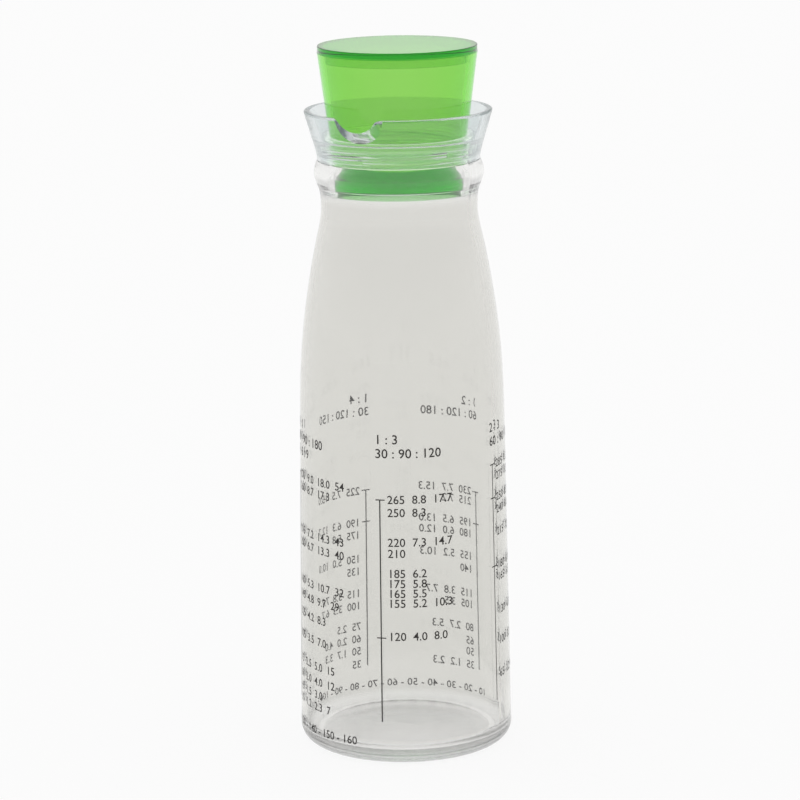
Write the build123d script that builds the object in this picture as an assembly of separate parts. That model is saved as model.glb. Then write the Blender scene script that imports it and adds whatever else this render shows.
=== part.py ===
from build123d import *
from math import cos, radians, sin, sqrt, tan
import os

# Salad dressing shaker bottle: clear bottle, clear pour collar screwed on its neck, hollow green stopper.
# Millimetres. +Z is up, the origin is the middle of the foot, and the pouring notch points along -Y.

# Bottle body, from the foot up
foot_r = 34.35
foot_corner_r = 5.5
foot_recess_r = 27.0
foot_recess_rise = 1.2
floor_thickness = 4.5
floor_corner_r = 3.6
wall = 1.8
wall_height = 98.6
shoulder_r = 33.0
shoulder_rise = 76.9
cove_rise = 10.9
bead_swell = 1.1
bead_rise = 3.9
# Shoulder curve between the straight wall and the waist, as shares of its rise and of its narrowing
shoulder_rise_shares = (0.385, 0.671, 0.892)
shoulder_narrowing_shares = (0.117, 0.444, 0.852)
# Cove curve between the waist and the bead, as shares of its rise and of its widening
cove_rise_share = 0.56
cove_widening_share = 0.33

# Neck finish
neck_bore_r = 22.6
neck_bore_depth = 13.0
neck_wall = 1.45
neck_rise = 5.2
neck_step = 0.5
neck_step_rise = 2.0
lip_round_r = 0.35

# Screw thread between neck and collar
thread_pitch = 4.0
thread_depth = 0.4
thread_base_width = 1.6
thread_crest_width = 0.6
thread_root_gap = 0.15
thread_end_gap = 0.3
thread_sink = 0.15

# Pour collar
collar_foot_gap = 0.3
collar_foot_wall = 1.3
collar_flare = 4.1
collar_rise = 15.6
collar_straight_rise = 1.5
collar_foot_bend_r = 10.0
rim_wall = 2.1
collar_rim_round_r = 0.6
ledge_thickness = 1.0
ledge_gap = 0.27
funnel_corner_r = 1.0
funnel_flange_gap = 0.2
notch_r = 9.0
notch_depth = 4.2
notch_drop = 3.4
notch_shoulder_r = 2.0
notch_overrun = 0.6

# Gasket under the ledge
gasket_thickness = 0.8
gasket_side_gap = 0.1

# Stopper
stopper_taper_angle = 7.32
stopper_drop = 12.5
stopper_height = 41.2
stopper_wall = 2.0
stopper_floor = 4.4
stopper_edge_r = 0.6
lid_thickness = 2.2
lid_setback = 0.05
lid_edge_r = 0.25
lid_rim_depth = 2.6
lid_rim_wall = 1.0
lid_rim_gap = 0.08

# Silicone sleeve that seals the stopper in the neck
sleeve_wall = 0.8
sleeve_neck_gap = 0.2
sleeve_bore_gap = 0.04
sleeve_flange_overhang = 0.8
sleeve_flange_thickness = 0.8
sleeve_depth = 5.6
sleeve_rib_fit = 0.06
sleeve_rib_width = 1.4
sleeve_rib_count = 3

# Hairline between pieces that touch: the lid's glue line, and both seats of the gasket and the sleeve
touch_gap = 0.02

# Heights and radii that follow
waist_r = neck_bore_r + neck_step + wall
waist_z = wall_height + shoulder_rise
bead_z = waist_z + cove_rise
bead_top_z = bead_z + bead_rise
lip_z = bead_top_z + neck_rise
neck_bore_z = lip_z - neck_bore_depth
neck_r = neck_bore_r + neck_wall
thread_crest_r = neck_r + thread_depth
thread_root_r = thread_crest_r + thread_root_gap
collar_thread_r = thread_root_r - thread_depth
collar_foot_r = thread_root_r + collar_foot_wall
bead_r = collar_foot_r + bead_swell
collar_foot_z = bead_top_z + collar_foot_gap
gasket_bottom_z = lip_z + touch_gap
gasket_top_z = gasket_bottom_z + gasket_thickness
ledge_underside_z = gasket_top_z + touch_gap
ledge_z = ledge_underside_z + ledge_thickness
collar_rim_r = collar_foot_r + collar_flare
collar_rim_z = collar_foot_z + collar_rise
stopper_bottom_z = lip_z - stopper_drop
stopper_top_z = stopper_bottom_z + stopper_height
lid_bottom_z = stopper_top_z + touch_gap
lid_top_z = lid_bottom_z + lid_thickness


def stopper_r(z):
    """Outside radius of the stopper at a height: its taper fits the neck's bore with the sleeve on it."""
    lip_level_r = neck_bore_r - sleeve_neck_gap - sleeve_wall
    return lip_level_r + tan(radians(stopper_taper_angle)) * (z - lip_z)


sleeve_bottom_z = lip_z - sleeve_depth
flange_bottom_z = ledge_z + touch_gap
sleeve_top_z = flange_bottom_z + sleeve_flange_thickness
ledge_bore_r = stopper_r(ledge_z) + sleeve_wall + ledge_gap
flange_r = ledge_bore_r + sleeve_flange_overhang

# The funnel's floor is wide enough for the sleeve's flange, and the notch's ramp runs from face to face
collar_straight_z = collar_foot_z + collar_straight_rise
funnel_floor_r = flange_r + funnel_flange_gap + funnel_corner_r
rim_inner_r = collar_rim_r - rim_wall
outside_lean = collar_flare / (collar_rim_z - collar_straight_z)
inside_lean = (rim_inner_r - funnel_floor_r) / (collar_rim_z - ledge_z)
ramp_top_r = collar_rim_r - outside_lean * notch_depth
ramp_foot_r = rim_inner_r - inside_lean * (notch_depth + notch_drop)


def turned(edges):
    """Turns a closed half profile, drawn with X as radius and Y as height, once round the axis."""
    return revolve(Plane.XZ * make_face(Wire(edges)), Axis.Z)


def polyline(*points):
    """Straight edges that join the points in order."""
    return [Line(a, b) for a, b in zip(points, points[1:])]


def shoulder_curve(inset):
    """Curve from the straight wall in to the waist, drawn this far inside the outside surface."""
    narrowing = shoulder_r - waist_r
    bottom = (shoulder_r - inset, wall_height)
    top = (waist_r - inset, waist_z)
    between = [
        (shoulder_r - inset - narrowing * inward, wall_height + shoulder_rise * up)
        for up, inward in zip(shoulder_rise_shares, shoulder_narrowing_shares)
    ]
    wall_run = (shoulder_r - foot_r, wall_height - foot_corner_r)
    return Spline(bottom, *between, top, tangents=[wall_run, (0, 1)])


def cove_curve():
    """Curve from the waist out to the crest of the bead."""
    bend = (waist_r + (bead_r - waist_r) * cove_widening_share, waist_z + cove_rise * cove_rise_share)
    return Spline((waist_r, waist_z), bend, (bead_r, bead_z), tangents=[(0, 1), (0, 1)])


def corner_arc(r, z, corner_r):
    """Quarter turn from a flat bottom at height z up into a wall of radius r."""
    half = corner_r * sqrt(2) / 2
    middle = (r - corner_r + half, z + corner_r - half)
    return ThreePointArc((r - corner_r, z), middle, (r, z + corner_r))


def thread_ridge(root_r, crest_r, sink, low_z, high_z, turn):
    """Helical ridge that stands off root_r and is sunk a little into the wall that carries it."""
    outward = 1 if crest_r > root_r else -1
    path = Helix(thread_pitch, high_z - low_z, crest_r, center=(0, 0, low_z))
    section = Plane(origin=path @ 0, x_dir=(1, 0, 0), z_dir=path % 0)
    base = root_r - outward * sink - crest_r
    flare = (thread_base_width - thread_crest_width) * sink / thread_depth
    base_half = (thread_base_width + flare) / 2
    crest_half = thread_crest_width / 2
    outline = [(0, -crest_half), (0, crest_half), (base, base_half), (base, -base_half)]
    ridge = sweep(section * make_face(Polyline(*outline, close=True)), path=path, is_frenet=True)
    return Rot(0, 0, turn) * ridge


# The two threads stand half a pitch apart, so each fills the other's groove
thread_margin = thread_end_gap + thread_base_width / 2
neck_thread_low_z = collar_foot_z + thread_margin
neck_thread_high_z = lip_z - thread_margin
neck_thread_turn = -90.0
collar_thread_lag = thread_pitch / 2 + thread_end_gap
collar_thread_low_z = neck_thread_low_z + thread_end_gap
collar_thread_turn = neck_thread_turn + 360.0 * collar_thread_lag / thread_pitch


def make_bottle():
    """Clear body: thick foot, tapering wall, shoulder, waist, bead, and the neck with its outside thread."""
    inner_foot_r = foot_r - wall
    push_up = ThreePointArc(
        (-foot_recess_r, 0), (0, foot_recess_rise), (foot_recess_r, 0)
    ).trim(0.5, 1.0)
    outer_corner = corner_arc(foot_r, 0, foot_corner_r)
    shoulder = shoulder_curve(0)
    cove = cove_curve()
    bead = TangentArc((bead_r, bead_z), (collar_foot_r, bead_top_z), tangent=(0, 1))
    inner_shoulder = shoulder_curve(wall)
    inner_corner = corner_arc(inner_foot_r, floor_thickness, floor_corner_r)
    outside = [
        push_up,
        Line((foot_recess_r, 0), outer_corner @ 0),
        outer_corner,
        Line(outer_corner @ 1, shoulder @ 0),
        shoulder,
        cove,
        bead,
    ]
    neck = polyline(
        (collar_foot_r, bead_top_z),
        (neck_r, bead_top_z),
        (neck_r, lip_z),
        (neck_bore_r, lip_z),
        (neck_bore_r, neck_bore_z),
        (neck_bore_r + neck_step, neck_bore_z - neck_step_rise),
        inner_shoulder @ 1,
    )
    inside = [
        inner_shoulder,
        Line(inner_shoulder @ 0, inner_corner @ 1),
        inner_corner,
        Line(inner_corner @ 0, (0, floor_thickness)),
        Line((0, floor_thickness), (0, foot_recess_rise)),
    ]
    body = turned(outside + neck + inside)
    lip_edges = body.edges().filter_by(GeomType.CIRCLE).filter_by_position(Axis.Z, lip_z, lip_z)
    body = fillet(lip_edges, lip_round_r)
    ridge = thread_ridge(
        neck_r, thread_crest_r, thread_sink, neck_thread_low_z, neck_thread_high_z, neck_thread_turn
    )
    return body + ridge


def notch_face(r):
    """Section of the pouring notch at this distance from the axis: a round dip with eased shoulders."""
    depth = notch_depth + notch_drop * (ramp_top_r - r) / (ramp_top_r - ramp_foot_r)
    centre_rise = notch_r - depth
    reach = notch_r + notch_shoulder_r
    shoulder_x = sqrt(reach**2 - (centre_rise + notch_shoulder_r) ** 2)
    touch_x = shoulder_x * notch_r / reach
    touch_y = centre_rise - (centre_rise + notch_shoulder_r) * notch_r / reach
    side = 2 * notch_r
    shoulders = [
        TangentArc((-shoulder_x, 0), (-touch_x, touch_y), tangent=(1, 0)),
        TangentArc((shoulder_x, 0), (touch_x, touch_y), tangent=(-1, 0)),
    ]
    dip = ThreePointArc((-touch_x, touch_y), (0, -depth), (touch_x, touch_y))
    over = polyline((shoulder_x, 0), (side, 0), (side, notch_r), (-side, notch_r), (-side, 0), (-shoulder_x, 0))
    upright = Plane(origin=(0, -r, collar_rim_z), x_dir=(1, 0, 0), z_dir=(0, -1, 0))
    return upright * make_face(Wire(shoulders + [dip] + over))


def notch_cutter():
    """Cuts the pouring notch: its ramp climbs from the funnel to a sharp lip on the outside face."""
    outer, inner = collar_rim_r + notch_overrun, ramp_foot_r - notch_overrun
    return loft([notch_face(outer), notch_face(inner)], ruled=True)


def make_collar():
    """Clear pour collar: flared funnel, ledge over the neck's lip, inside thread, and the pouring notch."""
    outline = FilletPolyline(
        (thread_root_r, collar_foot_z),
        (collar_foot_r, collar_foot_z),
        (collar_foot_r, collar_straight_z),
        (collar_rim_r, collar_rim_z),
        (rim_inner_r, collar_rim_z),
        (funnel_floor_r, ledge_z),
        (ledge_bore_r, ledge_z),
        (ledge_bore_r, ledge_underside_z),
        (thread_root_r, ledge_underside_z),
        radius=[0, 0, collar_foot_bend_r, collar_rim_round_r, collar_rim_round_r, funnel_corner_r, 0, 0, 0],
        close=True,
    )
    shell = turned(outline.edges())
    ridge = thread_ridge(
        thread_root_r, collar_thread_r, thread_sink, collar_thread_low_z, neck_thread_high_z, collar_thread_turn
    )
    return shell + ridge - notch_cutter()


def make_gasket():
    """Flat silicone ring held between the ledge of the collar and the lip of the neck."""
    return turned(
        polyline(
            (neck_bore_r + gasket_side_gap, gasket_bottom_z),
            (thread_root_r - gasket_side_gap, gasket_bottom_z),
            (thread_root_r - gasket_side_gap, gasket_top_z),
            (neck_bore_r + gasket_side_gap, gasket_top_z),
            (neck_bore_r + gasket_side_gap, gasket_bottom_z),
        )
    )


def make_stopper_cup():
    """Hollow green stopper: a tapered cup with a thick floor."""
    inner_bottom_z = stopper_bottom_z + stopper_floor
    top_r = stopper_r(stopper_top_z)
    outline = FilletPolyline(
        (0, stopper_bottom_z),
        (stopper_r(stopper_bottom_z), stopper_bottom_z),
        (top_r, stopper_top_z),
        (top_r - stopper_wall, stopper_top_z),
        (stopper_r(inner_bottom_z) - stopper_wall, inner_bottom_z),
        (0, inner_bottom_z),
        radius=[0, stopper_edge_r, 0, 0, stopper_edge_r, 0],
        close=True,
    )
    return turned(outline.edges())


def make_stopper_lid():
    """Green disc that closes the stopper, with a rim that locates it inside the cup."""
    lid_r = stopper_r(stopper_top_z) - lid_setback
    rim_bottom_z = stopper_top_z - lid_rim_depth
    rim_r = stopper_r(rim_bottom_z) - stopper_wall - lid_rim_gap
    outline = FilletPolyline(
        (0, lid_bottom_z),
        (rim_r - lid_rim_wall, lid_bottom_z),
        (rim_r - lid_rim_wall, rim_bottom_z),
        (rim_r, rim_bottom_z),
        (rim_r, lid_bottom_z),
        (lid_r, lid_bottom_z),
        (lid_r, lid_top_z),
        (0, lid_top_z),
        radius=[0, 0, 0, 0, 0, 0, lid_edge_r, 0],
        close=True,
    )
    return turned(outline.edges())


def sleeve_bore(z):
    """Inside radius of the sleeve, a hair's breadth off the stopper."""
    return stopper_r(z) + sleeve_bore_gap


def sleeve_outside(z):
    """Outside radius of the sleeve between its ribs."""
    return stopper_r(z) + sleeve_wall


def make_sleeve():
    """Silicone sleeve on the stopper: a flange that sits on the ledge, and ribs that seal in the neck."""
    sleeve = turned(
        polyline(
            (sleeve_bore(sleeve_bottom_z), sleeve_bottom_z),
            (sleeve_outside(sleeve_bottom_z), sleeve_bottom_z),
            (sleeve_outside(flange_bottom_z), flange_bottom_z),
            (flange_r, flange_bottom_z),
            (flange_r, sleeve_top_z),
            (sleeve_bore(sleeve_top_z), sleeve_top_z),
            (sleeve_bore(sleeve_bottom_z), sleeve_bottom_z),
        )
    )
    rib_r = neck_bore_r - sleeve_rib_fit
    base_half = sleeve_rib_width / 2
    crest_half = sleeve_rib_width / 4
    spacing = sleeve_depth / sleeve_rib_count
    for i in range(sleeve_rib_count):
        rib_z = sleeve_bottom_z + spacing * (i + 0.5)
        root_r = sleeve_outside(rib_z) - sleeve_wall / 2
        sleeve = sleeve + turned(
            polyline(
                (root_r, rib_z - base_half),
                (rib_r, rib_z - crest_half),
                (rib_r, rib_z + crest_half),
                (root_r, rib_z + base_half),
                (root_r, rib_z - base_half),
            )
        )
    return sleeve


pieces = {
    "bottle": make_bottle(),
    "pour_collar": make_collar(),
    "collar_gasket": make_gasket(),
    "stopper_cup": make_stopper_cup(),
    "stopper_lid": make_stopper_lid(),
    "stopper_sleeve": make_sleeve(),
}

os.makedirs("parts", exist_ok=True)
for name, piece in pieces.items():
    export_step(piece, f"parts/{name}.step")
print("overall height", round(lid_top_z, 2), "collar rise per degree", thread_pitch / 360.0)
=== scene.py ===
from math import cos, hypot, pi, radians, sin

import bmesh
import bpy
from mathutils import Matrix, Vector
from mathutils.bvhtree import BVHTree


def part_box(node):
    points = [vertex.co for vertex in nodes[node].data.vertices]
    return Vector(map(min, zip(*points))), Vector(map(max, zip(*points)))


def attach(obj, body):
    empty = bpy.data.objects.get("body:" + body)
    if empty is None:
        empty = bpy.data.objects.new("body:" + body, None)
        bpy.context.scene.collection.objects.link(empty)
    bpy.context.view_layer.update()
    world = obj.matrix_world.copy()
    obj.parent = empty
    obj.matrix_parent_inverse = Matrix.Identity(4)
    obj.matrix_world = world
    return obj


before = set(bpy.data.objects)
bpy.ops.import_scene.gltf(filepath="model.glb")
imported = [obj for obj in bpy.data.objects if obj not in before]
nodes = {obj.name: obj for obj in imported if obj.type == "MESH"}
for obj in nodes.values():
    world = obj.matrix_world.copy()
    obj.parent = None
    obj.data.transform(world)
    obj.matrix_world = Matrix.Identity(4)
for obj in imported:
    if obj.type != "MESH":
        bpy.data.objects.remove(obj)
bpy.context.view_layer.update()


# Bottle
# One clear SAN moulding: a thick foot, a tapering wall, a waist, a bead and a threaded neck.
# It leaves a polished tool glossy and faintly warm grey, with very slight upright waves where it was drawn.

MM = 0.001
bottle_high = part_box("bottle")[1]
bottle_height = bottle_high.z
foot_radius = bottle_high.x

# Heights and radii of the middle of the wall, which tell its outside skin from its inside skin
wall_middle = [
    (0.0, 0.0),
    (2.8 * MM, 0.0),
    (3.0 * MM, 30.5 * MM),
    (5.5 * MM, 32.4 * MM),
    (8.5 * MM, 33.35 * MM),
    (98.6 * MM, 32.1 * MM),
    (128.2 * MM, 31.15 * MM),
    (150.2 * MM, 28.5 * MM),
    (167.2 * MM, 25.2 * MM),
    (175.5 * MM, 24.0 * MM),
    (181.5 * MM, 24.6 * MM),
    (186.4 * MM, 25.3 * MM),
]
# Greys of the outside skin by height: near white under the foot, and again on the neck's bead. The faint warm
# grey is the plastic's own, and its slight darkening down the lower wall is painted shade
skin_greys_and_painted_shade = [
    (0.0, "#FFFFFF"),
    (2.8 * MM, "#FAFAF9"),
    (5.5 * MM, "#DCDBD7"),
    (9 * MM, "#DCDBD6"),
    (14 * MM, "#E0DFDA"),
    (22 * MM, "#D4D3CD"),
    (98.6 * MM, "#D8D7D1"),
    (177.5 * MM, "#DAD9D4"),
    (181 * MM, "#F0F0EE"),
    (186 * MM, "#F4F4F2"),
]


def linear(hex_code):
    """Turns an sRGB hex colour into linear RGBA."""
    parts = [int(hex_code[i : i + 2], 16) / 255 for i in (1, 3, 5)]
    return [c / 12.92 if c <= 0.04045 else ((c + 0.055) / 1.055) ** 2.4 for c in parts] + [1.0]


def add(tree, kind, links=None, **settings):
    """Adds a node, sets its properties and input values, and links its inputs."""
    node = tree.nodes.new(kind)
    for name, value in settings.items():
        if hasattr(node, name):
            setattr(node, name, value)
        else:
            node.inputs[name.replace("_", " ")].default_value = value
    for name, source in (links or {}).items():
        tree.links.new(source, node.inputs[name])
    return node


def start_material(name):
    """A new material with an empty node tree."""
    material = bpy.data.materials.new(name)
    material.use_nodes = True
    material.node_tree.nodes.clear()
    return material, material.node_tree


def give(material, *names):
    """Puts a material on moulded pieces."""
    for name in names:
        nodes[name].data.materials.clear()
        nodes[name].data.materials.append(material)


def set_stops(ramp, stops):
    """Sets the stops of a colour ramp, each a position and a colour."""
    while len(ramp.color_ramp.elements) < len(stops):
        ramp.color_ramp.elements.new(1.0)
    for element, (position, colour) in zip(ramp.color_ramp.elements, stops):
        element.position = position
        element.color = colour


def clear_san():
    """Moulded SAN: glossy and clear, with the grey in its outside skin, so the wall's edge stays as pale as
    its middle. The underside of the foot has a fine tool grain, which softens what shows through it."""
    material, tree = start_material("clear_san_moulded_glossy")
    wave_width = 9 * MM
    wave_depth = 0.1 * MM
    wave_stretch = 0.12
    place = add(tree, "ShaderNodeTexCoord")
    stretched = add(
        tree,
        "ShaderNodeMapping",
        {"Vector": place.outputs["Object"]},
        Scale=(1.0, 1.0, wave_stretch),
    )
    waves = add(
        tree,
        "ShaderNodeTexNoise",
        {"Vector": stretched.outputs["Vector"]},
        Scale=1 / wave_width,
        Detail=1.5,
    )
    ripple = add(
        tree, "ShaderNodeBump", {"Height": waves.outputs["Fac"]}, Strength=0.1, Distance=wave_depth
    )

    axes = add(tree, "ShaderNodeSeparateXYZ", {"Vector": place.outputs["Object"]})
    height = add(tree, "ShaderNodeMapRange", {"Value": axes.outputs["Z"]}, From_Max=bottle_height)
    middle = add(tree, "ShaderNodeValToRGB", {"Fac": height.outputs["Result"]})
    set_stops(middle, [(z / bottle_height, [r / foot_radius] * 3 + [1.0]) for z, r in wall_middle])
    flat = add(tree, "ShaderNodeCombineXYZ", {"X": axes.outputs["X"], "Y": axes.outputs["Y"]})
    radius = add(tree, "ShaderNodeVectorMath", {0: flat.outputs["Vector"]}, operation="LENGTH")
    part = add(tree, "ShaderNodeMapRange", {"Value": radius.outputs["Value"]}, From_Max=foot_radius)
    outside = add(
        tree,
        "ShaderNodeMath",
        {0: part.outputs["Result"], 1: middle.outputs["Color"]},
        operation="GREATER_THAN",
    )
    # The outside skin's grey by height, with painted shade that darkens it a little down the lower wall
    grey = add(tree, "ShaderNodeValToRGB", {"Fac": height.outputs["Result"]})
    set_stops(grey, [(z / bottle_height, linear(colour)) for z, colour in skin_greys_and_painted_shade])
    tint_and_painted_shade = add(
        tree,
        "ShaderNodeMixRGB",
        {"Fac": outside.outputs["Value"], "Color2": grey.outputs["Color"]},
        Color1=linear("#FFFFFF"),
    )

    grain_ends = (5 * MM, 9 * MM)
    grained, polished = 0.2, 0.03
    grain = add(
        tree,
        "ShaderNodeMapRange",
        {"Value": axes.outputs["Z"]},
        From_Min=grain_ends[0],
        From_Max=grain_ends[1],
        To_Min=grained,
        To_Max=polished,
    )
    skin = add(
        tree,
        "ShaderNodeBsdfPrincipled",
        {
            "Base Color": tint_and_painted_shade.outputs["Color"],
            "Roughness": grain.outputs["Result"],
            "Normal": ripple.outputs["Normal"],
        },
        IOR=1.57,
        Transmission_Weight=1.0,
    )
    add(tree, "ShaderNodeOutputMaterial", {"Surface": skin.outputs["BSDF"]})
    return material


give(clear_san(), "bottle")


# Printed measuring scales
# Five upright scales in dark ink, screen-printed round the wall: each a line, ticks and rows of numbers.
# The ink is a thin raised film, bonded to the plastic, so it also shows from inside, through the wall.

ink_raise = 0.012 * MM
ink_sink = 0.03 * MM
first_scale_angle = 13.8
line_width = 0.42 * MM
line_step = 3.0 * MM
tick_width = 0.36 * MM
tick_ends = (-1.4 * MM, 1.6 * MM)
tick_steps = 3
label_size = 3.8 * MM
header_size = 4.2 * MM
header_rise = (106.5 * MM, 102.0 * MM, 97.6 * MM)
header_lead = radians(2.5)
number_gap = radians(4.0)
# Half the height of a digit, as a share of the size of its type
half_digit = 0.34

bottle_skin = BVHTree.FromObject(nodes["bottle"], bpy.context.evaluated_depsgraph_get())
reach = 2 * foot_radius


def on_skin(angle, height, lift):
    """Point this far off the bottle's outside, at an angle round it and a height."""
    outward = Vector((sin(angle), -cos(angle), 0.0))
    start = outward * reach + Vector((0, 0, height))
    hit = bottle_skin.ray_cast(start, -outward)[0]
    return outward * (hypot(hit.x, hit.y) + lift) + Vector((0, 0, height))


def wrap(film, angle, height, size):
    """Bends flat print round the bottle: X runs round it, Y runs up, and Z is the thickness of the film."""
    radius = on_skin(angle, height, 0).xy.length
    for vertex in film.verts:
        lift = ink_raise if vertex.co.z > 0 else -ink_sink
        vertex.co = on_skin(angle + vertex.co.x * size / radius, height + vertex.co.y * size, lift)


def typed(words):
    """Flat print of some characters as a closed film, one unit high, with its left end on the origin."""
    half_thickness = 0.5
    stroke_swell = 0.008
    weld_distance = 0.0001
    curve = bpy.data.curves.new("print", "FONT")
    curve.body = words
    curve.extrude = half_thickness
    curve.offset = stroke_swell
    curve.resolution_u = 3
    holder = bpy.data.objects.new("print", curve)
    flat = bpy.data.meshes.new_from_object(holder)
    bpy.data.objects.remove(holder)
    film = bmesh.new()
    film.from_mesh(flat)
    bmesh.ops.remove_doubles(film, verts=film.verts, dist=weld_distance)
    bpy.data.meshes.remove(flat)
    return film


def bar(left, right, low, high, steps_across, steps_up):
    """Closed flat film of a bar, cut into steps so that it can follow the wall."""
    half = 0.5
    film = bmesh.new()
    bmesh.ops.create_grid(film, x_segments=steps_across, y_segments=steps_up, size=half)
    for vertex in film.verts:
        vertex.co.x = left + (right - left) * (vertex.co.x + half)
        vertex.co.y = low + (high - low) * (vertex.co.y + half)
        vertex.co.z = -half
    walls = bmesh.ops.extrude_face_region(film, geom=film.faces[:])
    for item in walls["geom"]:
        if isinstance(item, bmesh.types.BMVert):
            item.co.z = half
    bmesh.ops.recalc_face_normals(film, faces=film.faces)
    return film


def print_on(sheet, film, angle, height, size=1.0):
    """Wraps one film on the bottle and adds it to a sheet of print."""
    wrap(film, angle, height, size)
    step = bpy.data.meshes.new("step")
    film.to_mesh(step)
    film.free()
    sheet.from_mesh(step)
    bpy.data.meshes.remove(step)


def screen_ink():
    """Dark brown-black screen ink: matt, and mottled where the mesh laid it thinner."""
    material, tree = start_material("dark_screen_ink_matt")
    mottle_size = 0.8 * MM
    place = add(tree, "ShaderNodeTexCoord")
    mottle = add(
        tree,
        "ShaderNodeTexNoise",
        {"Vector": place.outputs["Object"]},
        Scale=1 / mottle_size,
        Detail=3.0,
    )
    shade = add(tree, "ShaderNodeValToRGB", {"Fac": mottle.outputs["Fac"]})
    set_stops(shade, [(0.0, linear("#1E1B19")), (1.0, linear("#3A3632"))])
    ink = add(tree, "ShaderNodeBsdfPrincipled", {"Base Color": shade.outputs["Color"]}, Roughness=0.7)
    add(tree, "ShaderNodeOutputMaterial", {"Surface": ink.outputs["BSDF"]})
    return material


ink = screen_ink()


def lay_print(sheet, name):
    """Makes a finished sheet of print into a piece that rides on the bottle."""
    mesh = bpy.data.meshes.new(name)
    sheet.to_mesh(mesh)
    sheet.free()
    piece = bpy.data.objects.new(name, mesh)
    bpy.context.scene.collection.objects.link(piece)
    mesh.materials.append(ink)
    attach(piece, "bottle")


def measures(height, columns):
    """The volume up to a height as plain numbers: millilitres, then ounces, tablespoons and teaspoons."""
    known_volume, known_height = 120, 42.3 * MM
    height_per_millilitre = 0.3135 * MM
    teaspoon, teaspoons_per_tablespoon, teaspoons_per_ounce = 5, 3, 6
    millilitres = known_volume + (height - known_height) / height_per_millilitre
    teaspoons = round(millilitres / teaspoon)
    numbers = (
        f"{teaspoons * teaspoon}",
        f"{teaspoons / teaspoons_per_ounce:.1f}",
        f"{teaspoons / teaspoons_per_tablespoon:.1f}",
        f"{teaspoons}",
    )
    return "  ".join(numbers[:columns])


# Each scale: the foot of its line, its ticks and its rows, in millimetres, and its headers.
# A row is a height and the number of columns that it shows.
scales = [
    (
        14.7,
        (87.1, 42.3),
        (
            (87.2, 3), (83.0, 2), (73.4, 3), (69.8, 1), (63.3, 2), (60.0, 2), (56.8, 2), (53.6, 3), (42.8, 3),
        ),
        ("1 : 3", "30 : 90 : 120"),
    ),
    (
        16.6,
        (94.4, 83.4, 61.0),
        (
            (94.4, 3), (90.3, 2), (83.4, 3), (79.3, 2), (72.0, 3), (61.0, 3), (57.0, 2), (46.0, 3),
            (36.0, 2), (25.0, 3),
        ),
        ("2 : 3", "60 : 90 : 150"),
    ),
    (
        15.0,
        (76.1, 65.2),
        (
            (76.1, 3), (72.6, 2), (65.2, 3), (61.4, 3), (53.7, 3), (49.2, 1), (40.8, 3), (37.0, 2),
            (29.0, 3), (24.4, 1), (20.6, 1), (16.0, 3),
        ),
        ("1 : 2", "60 : 120 : 180"),
    ),
    (
        14.4,
        (75.2, 64.4),
        (
            (75.2, 3), (64.4, 3), (60.1, 2), (51.9, 3), (47.6, 1), (40.0, 3), (35.7, 3), (28.5, 2),
            (24.2, 3), (19.9, 3), (15.3, 1),
        ),
        ("1 : 4", "30 : 120 : 150"),
    ),
    (
        14.7,
        (90.0, 72.0),
        (
            (90.0, 4), (86.0, 3), (72.0, 4), (67.7, 4), (55.5, 4), (50.6, 4), (44.6, 3), (37.3, 3),
            (28.9, 4), (23.9, 4), (19.5, 3), (15.5, 4),
        ),
        ("1 : 1", "90 : 90 : 180", "3 : 6 : 9"),
    ),
]

for index, (bottom, ticks, rows, header) in enumerate(scales):
    angle = radians(first_scale_angle + index * 360 / len(scales))
    low, high = bottom * MM, ticks[0] * MM
    sheet = bmesh.new()
    steps = round((high - low) / line_step)
    print_on(sheet, bar(-line_width / 2, line_width / 2, 0, high - low, 1, steps), angle, low)
    for tick in ticks:
        mark = bar(*tick_ends, -tick_width / 2, tick_width / 2, tick_steps, 1)
        print_on(sheet, mark, angle, tick * MM)
    for row, columns in rows:
        words = measures(row * MM, columns)
        print_on(sheet, typed(words), angle + number_gap, row * MM - half_digit * label_size, label_size)
    for words, height in zip(header, header_rise):
        print_on(sheet, typed(words), angle - header_lead, height - half_digit * header_size, header_size)
    lay_print(sheet, f"printed_scale_{index + 1}")

# A row of plain numbers runs low round the side, the back and the other side, and leaves the front open
ring_angle = radians(152.0)
ring_height = 7.6 * MM
ring_step, ring_last = 10, 160
sheet = bmesh.new()
words = " - ".join(str(number) for number in range(ring_step, ring_last + 1, ring_step))
print_on(sheet, typed(words), ring_angle, ring_height - half_digit * label_size, label_size)
lay_print(sheet, "printed_ring")


# Collar gasket
# A flat ring moulded in clear silicone, milky and a little matt.
# It lies on the neck's lip, and the collar's ledge presses on it, so that the joint doesn't drip.

def clear_silicone():
    """Clear silicone, soft and a little matt: it blurs what is behind it, and it has a faint painted glow, a
    pale light given off by the silicone itself."""
    material, tree = start_material("clear_silicone_painted_glow")
    bloom_size = 3 * MM
    place = add(tree, "ShaderNodeTexCoord")
    bloom = add(
        tree,
        "ShaderNodeTexNoise",
        {"Vector": place.outputs["Object"]},
        Scale=1 / bloom_size,
        Detail=2.0,
    )
    soft = add(tree, "ShaderNodeMapRange", {"Value": bloom.outputs["Fac"]}, To_Min=0.08, To_Max=0.14)
    skin = add(
        tree,
        "ShaderNodeBsdfPrincipled",
        {"Roughness": soft.outputs["Result"]},
        Base_Color=linear("#FFFFFF"),
        # Painted glow: the silicone gives off a faint pale green-white light of its own
        Emission_Color=linear("#F4FFEC"),
        Emission_Strength=0.04,
        IOR=1.41,
        Transmission_Weight=1.0,
    )
    add(tree, "ShaderNodeOutputMaterial", {"Surface": skin.outputs["BSDF"]})
    return material


silicone = clear_silicone()
give(silicone, "collar_gasket")


# Pour collar
# A clear acrylic moulding with a flared wall, a polished rim and a pouring notch.
# It is turned down on the neck's quick thread, until its ledge presses on the gasket.

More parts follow.
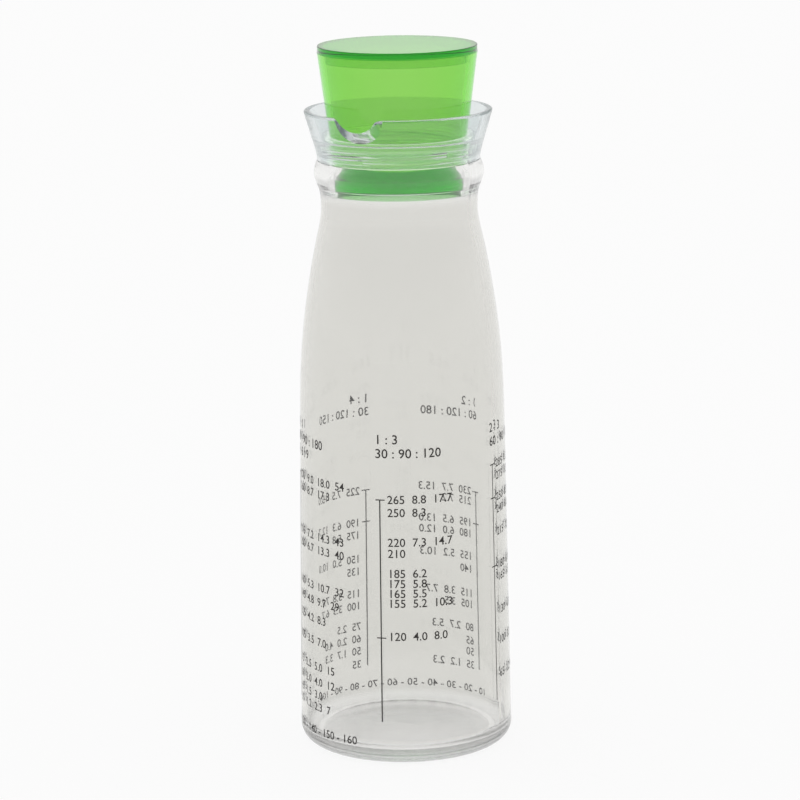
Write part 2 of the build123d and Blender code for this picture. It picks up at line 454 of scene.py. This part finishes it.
def moulding_ripple(tree, width, depth):
    """The slight unevenness that a polished moulding keeps, as a normal."""
    place = add(tree, "ShaderNodeTexCoord")
    flow = add(
        tree,
        "ShaderNodeTexNoise",
        {"Vector": place.outputs["Object"]},
        Scale=1 / width,
        Detail=1.0,
    )
    ripple = add(tree, "ShaderNodeBump", {"Height": flow.outputs["Fac"]}, Strength=0.1, Distance=depth)
    return ripple.outputs["Normal"]


def clear_acrylic():
    """Polished clear acrylic: all but colourless, and a cool grey only where light runs a long way in it, at
    long edges and thick corners."""
    material, tree = start_material("clear_acrylic_polished")
    skin = add(
        tree,
        "ShaderNodeBsdfPrincipled",
        {"Normal": moulding_ripple(tree, width=7 * MM, depth=0.15 * MM)},
        Base_Color=linear("#E9EEEE"),
        Roughness=0.06,
        IOR=1.49,
        Transmission_Weight=1.0,
    )
    depth = add(tree, "ShaderNodeVolumeAbsorption", Color=linear("#B6C6C8"), Density=9.0)
    ends = {"Surface": skin.outputs["BSDF"], "Volume": depth.outputs["Volume"]}
    add(tree, "ShaderNodeOutputMaterial", ends)
    return material


give(clear_acrylic(), "pour_collar")


# Stopper
# A hollow tapered cup and a lid, both moulded in transparent green acrylic.
# They are glued where the lid meets the cup's rim, which shows as a darker line.

def green_acrylic():
    """Dyed acrylic: the dye sits in its depth, so a thin wall is yellow-green and a long path is emerald."""
    material, tree = start_material("green_acrylic_moulded")
    skin = add(
        tree,
        "ShaderNodeBsdfPrincipled",
        {"Normal": moulding_ripple(tree, width=12 * MM, depth=0.1 * MM)},
        Base_Color=linear("#E9EDE6"),
        Roughness=0.02,
        IOR=1.49,
        Transmission_Weight=1.0,
    )
    depth = add(tree, "ShaderNodeVolumeAbsorption", Color=linear("#C1FB38"), Density=500.0)
    ends = {"Surface": skin.outputs["BSDF"], "Volume": depth.outputs["Volume"]}
    add(tree, "ShaderNodeOutputMaterial", ends)
    return material


give(green_acrylic(), "stopper_cup", "stopper_lid")


# Stopper sleeve
# A ribbed sleeve of the same clear silicone, stretched over the lower part of the cup.
# Its ribs seal in the neck, and its flange rests on the collar's ledge. The green behind it looks paler.

# The sleeve shares the silicone's faint painted glow
give(silicone, "stopper_sleeve")


# Studio
# A white paper floor and a white room, with the camera where the photograph was taken from.
# The paper keeps a soft shadow, and the camera and the clear plastic see it close to plain white.

floor_reach = 3.0
shown_white = 0.9
horizon = 0.2
light_bounces = 128

corners = [(x * floor_reach, y * floor_reach, 0) for x, y in ((-1, -1), (1, -1), (1, 1), (-1, 1))]
floor_mesh = bpy.data.meshes.new("floor")
floor_mesh.from_pydata(corners, [], [(0, 1, 2, 3)])
floor = bpy.data.objects.new("floor", floor_mesh)
bpy.context.scene.collection.objects.link(floor)


def white_paper():
    """Matt white paper: it takes a soft shadow, and shows as plain white where it is seen or reflected."""
    material, tree = start_material("white_paper_matt")
    matt = add(tree, "ShaderNodeBsdfDiffuse", Color=linear("#FDFDFD"))
    bright = add(tree, "ShaderNodeEmission", Color=linear("#FFFFFF"), Strength=1.0)
    path = add(tree, "ShaderNodeLightPath")
    seen = add(
        tree,
        "ShaderNodeMath",
        {0: path.outputs["Is Camera Ray"], 1: path.outputs["Is Glossy Ray"]},
        operation="MAXIMUM",
    )
    shown = add(
        tree,
        "ShaderNodeMath",
        {0: seen.outputs["Value"], 1: path.outputs["Is Transmission Ray"]},
        operation="MAXIMUM",
    )
    share = add(tree, "ShaderNodeMath", {0: shown.outputs["Value"]}, operation="MULTIPLY")
    share.inputs[1].default_value = shown_white
    mixed = add(
        tree,
        "ShaderNodeMixShader",
        {0: share.outputs["Value"], 1: matt.outputs["BSDF"], 2: bright.outputs["Emission"]},
    )
    add(tree, "ShaderNodeOutputMaterial", {"Surface": mixed.outputs["Shader"]})
    return material


floor_mesh.materials.append(white_paper())

world = bpy.data.worlds.new("white_room")
world.use_nodes = True
tree = world.node_tree
tree.nodes.clear()
facing = add(tree, "ShaderNodeTexCoord")
ways = add(tree, "ShaderNodeSeparateXYZ", {"Vector": facing.outputs["Generated"]})
rise = add(tree, "ShaderNodeMapRange", {"Value": ways.outputs["Z"]}, From_Max=horizon)
walls = add(tree, "ShaderNodeValToRGB", {"Fac": rise.outputs["Result"]})
set_stops(walls, [(0.0, linear("#FFFFFF")), (1.0, linear("#DCDCDC"))])
room = add(tree, "ShaderNodeBackground", {"Color": walls.outputs["Color"]}, Strength=1.0)
add(tree, "ShaderNodeOutputWorld", {"Surface": room.outputs["Background"]})

scene = bpy.context.scene
scene.world = world
scene.view_settings.view_transform = "Standard"
# Light crosses many clear walls between the stopper, the sleeve, the collar and the neck
scene.cycles.max_bounces = light_bounces
scene.cycles.transmission_bounces = light_bounces
scene.cycles.glossy_bounces = light_bounces

camera_side = radians(26.8)
camera_distance = 1090.29 * MM
camera_height = 352.384 * MM
camera_pitch = 0.217
camera_roll = -0.014
focal_pixels = 3477.2
picture_width = 800
offset_pixels = 2.05

camera = bpy.data.objects.new("camera", bpy.data.cameras.new("camera"))
scene.collection.objects.link(camera)
camera.location = (sin(camera_side) * camera_distance, -cos(camera_side) * camera_distance, camera_height)
turn = Matrix.Rotation(camera_side, 3, "Z")
turn = turn @ Matrix.Rotation(pi / 2 - camera_pitch, 3, "X") @ Matrix.Rotation(camera_roll, 3, "Z")
camera.rotation_euler = turn.to_euler()
camera.data.sensor_width = 36.0
camera.data.lens = focal_pixels * camera.data.sensor_width / picture_width
camera.data.shift_x = -offset_pixels / picture_width
scene.camera = camera
